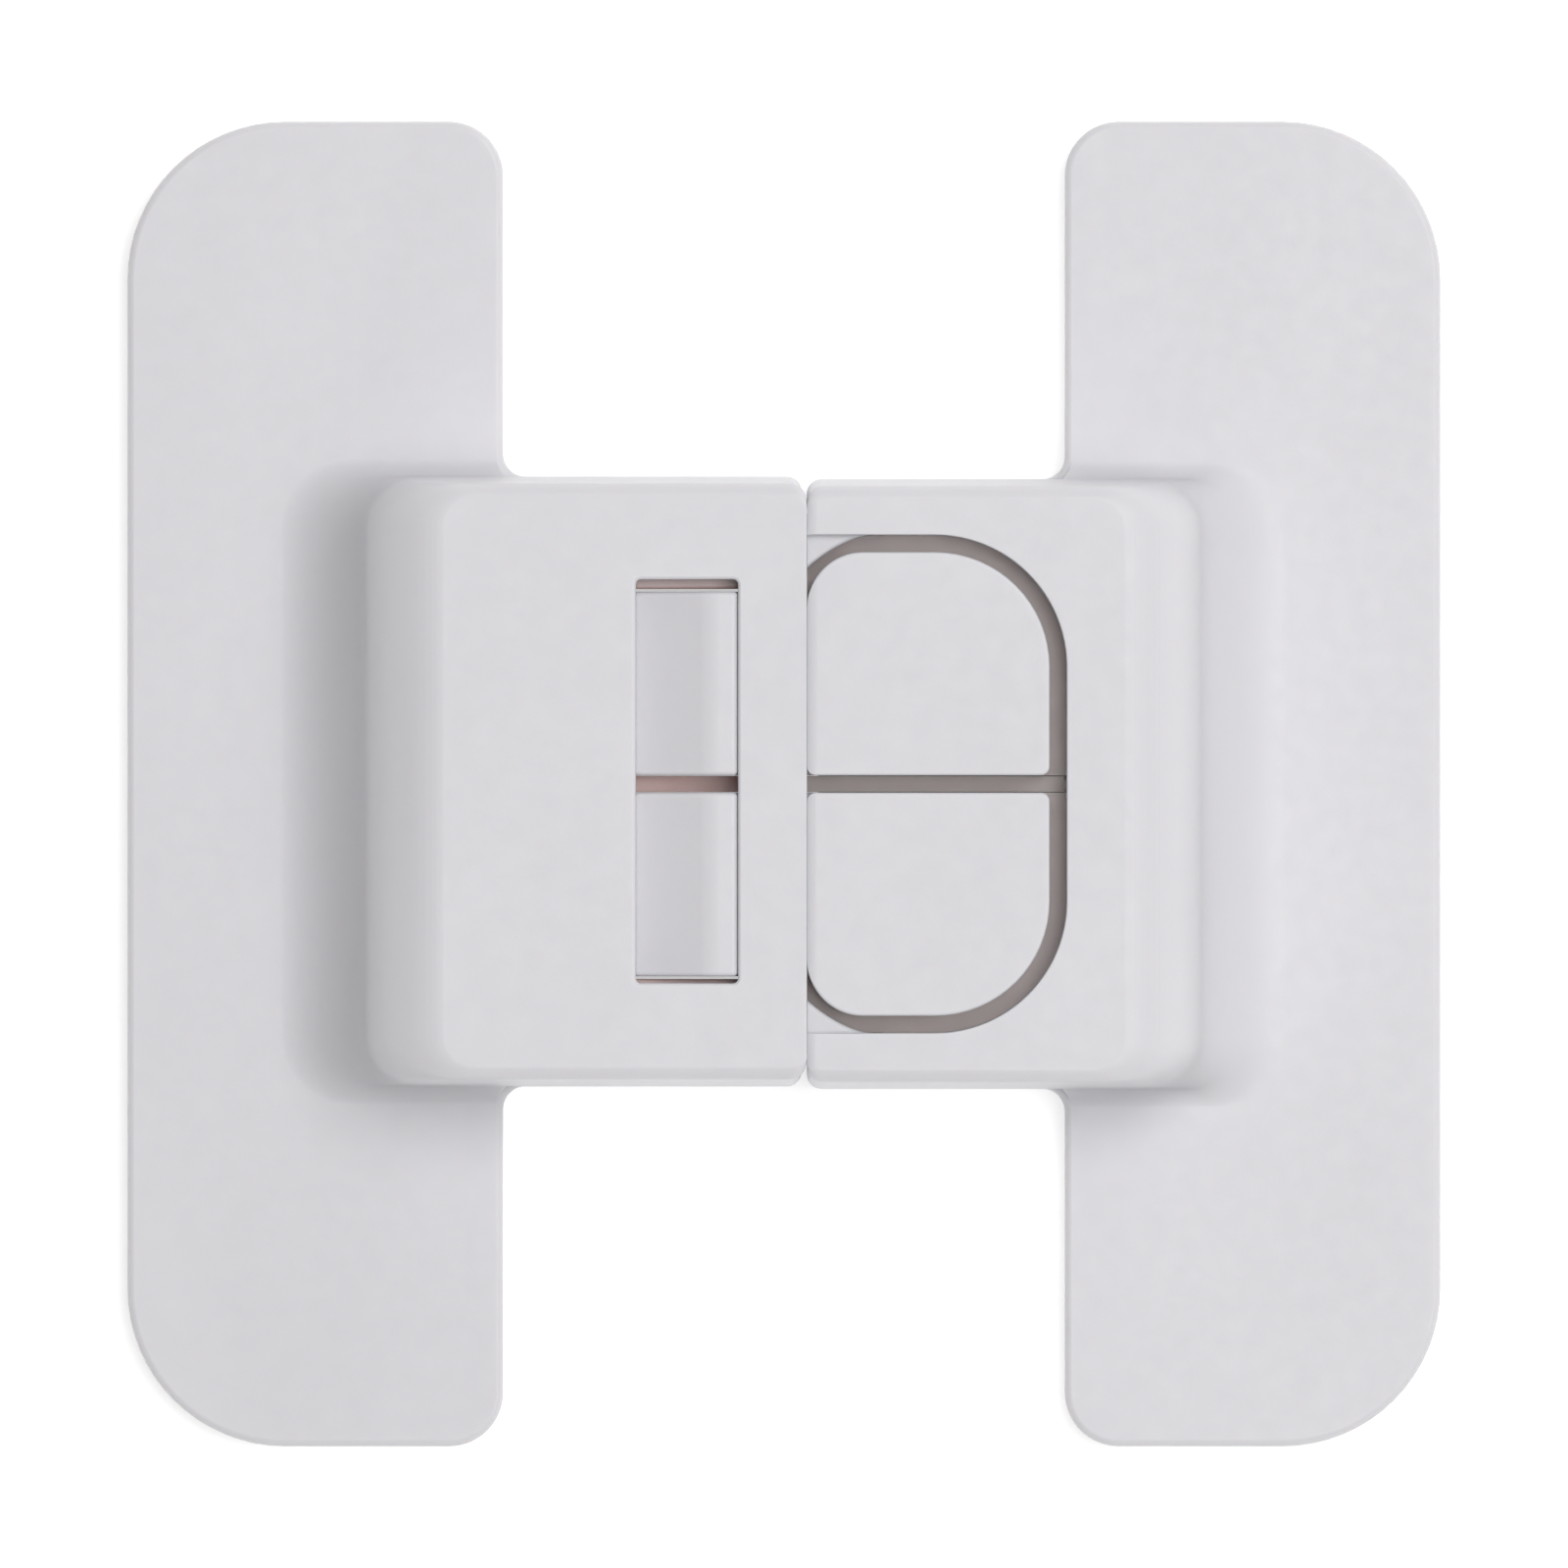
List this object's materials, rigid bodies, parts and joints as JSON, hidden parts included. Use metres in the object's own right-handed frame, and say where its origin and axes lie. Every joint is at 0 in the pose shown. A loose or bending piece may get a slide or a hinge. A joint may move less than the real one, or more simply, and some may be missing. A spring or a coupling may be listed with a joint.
{
  "type": "refrigerator lock",
  "caption": "Stick-on child-safety lock for a refrigerator door: a windowed receiver half and a latch half whose paired sprung buttons lower hooks to let the halves part.",
  "frame": {"origin": "middle of the closed lock, on the surface that the release liners lie on", "axes": "+Z out of the appliance's surface, +X from the receiver half to the latch half, +Y along the plates"},
  "size_m": [0.09, 0.0908, 0.0191],
  "materials": {
    "white_moulding": "fine satin moulding",
    "bright_steel": "bright drawn wire and plated screws",
    "foam_tape": "closed-cell foam tape, matt",
    "liner_film": "thin glossy release film"
  },
  "bodies": {
    "latch_half": {"latch_body": "white_moulding", "latch_foam_pad": "foam_tape", "latch_release_liner": "liner_film", "base_cover": "white_moulding", "cover_screw_1": "bright_steel", "cover_screw_2": "bright_steel", "cover_screw_3": "bright_steel", "cover_screw_4": "bright_steel", "pivot_pin": "bright_steel", "upper_return_spring": "bright_steel", "lower_return_spring": "bright_steel"},
    "receiver_half": {"receiver_body": "white_moulding", "receiver_foam_pad": "foam_tape", "receiver_release_liner": "liner_film"},
    "upper_lever": {"upper_latch_lever": "white_moulding"},
    "lower_lever": {"lower_latch_lever": "white_moulding"}
  },
  "joints": [
    {"name": "upper_button_press", "type": "hinge", "parent": "latch_half", "child": "upper_lever", "pos_m": [0.02312, 0, 0.0145], "axis": [0, -1, 0], "range_deg": [0, 4.2], "stiffness_Nm_per_rad": 0.08, "springref_deg": -14.32, "deforming": ["upper_return_spring"]},
    {"name": "lower_button_press", "type": "hinge", "parent": "latch_half", "child": "lower_lever", "pos_m": [0.02312, 0, 0.0145], "axis": [0, -1, 0], "range_deg": [0, 4.2], "stiffness_Nm_per_rad": 0.08, "springref_deg": -14.32, "deforming": ["lower_return_spring"]},
    {"name": "receiver_lift_off", "type": "slide", "parent": "latch_half", "child": "receiver_half", "axis": [0, 0, 1], "range_m": [0, 0.025]}
  ]
}
